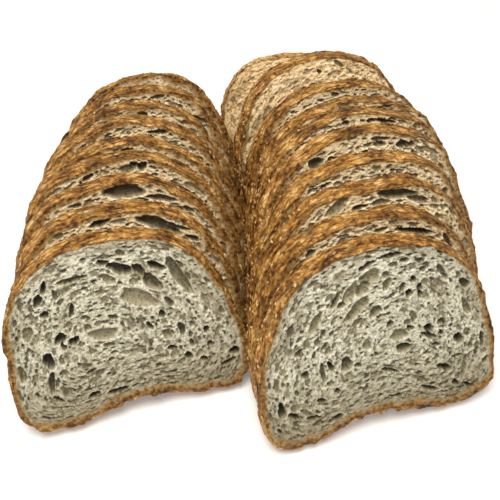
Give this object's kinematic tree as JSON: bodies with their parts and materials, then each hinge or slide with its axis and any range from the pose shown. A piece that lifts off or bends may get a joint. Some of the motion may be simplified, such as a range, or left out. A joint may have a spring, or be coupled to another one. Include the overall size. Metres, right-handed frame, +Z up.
{
  "type": "sliced seeded wholegrain bread loaf",
  "caption": "Seeded wholegrain loaf, cut across its middle and sliced, its halves standing side by side on their base crusts with the cut faces to the front.",
  "frame": {"origin": "centre of the loaf's footprint, on the surface that it stands on", "axes": "+Z up, +Y from the cut faces of the halves back to the heels, +X to the right as seen facing the cut faces"},
  "size_m": [0.2474, 0.2426, 0.0971],
  "materials": {
    "bread": "matte, open-pored crumb with a browned crust",
    "seeds": "smooth pale husks with a faint sheen"
  },
  "bodies": {
    "root": {"left_slice_01": "bread", "left_slice_02": "bread", "left_slice_03": "bread", "left_slice_04": "bread", "left_slice_05": "bread", "left_slice_06": "bread", "left_slice_07": "bread", "left_slice_08": "bread", "left_heel": "bread", "right_slice_01": "bread", "right_slice_02": "bread", "right_slice_03": "bread", "right_slice_04": "bread", "right_slice_05": "bread", "right_slice_06": "bread", "right_slice_07": "bread", "right_slice_08": "bread", "right_slice_09": "bread", "right_heel": "bread"}
  },
  "joints": []
}
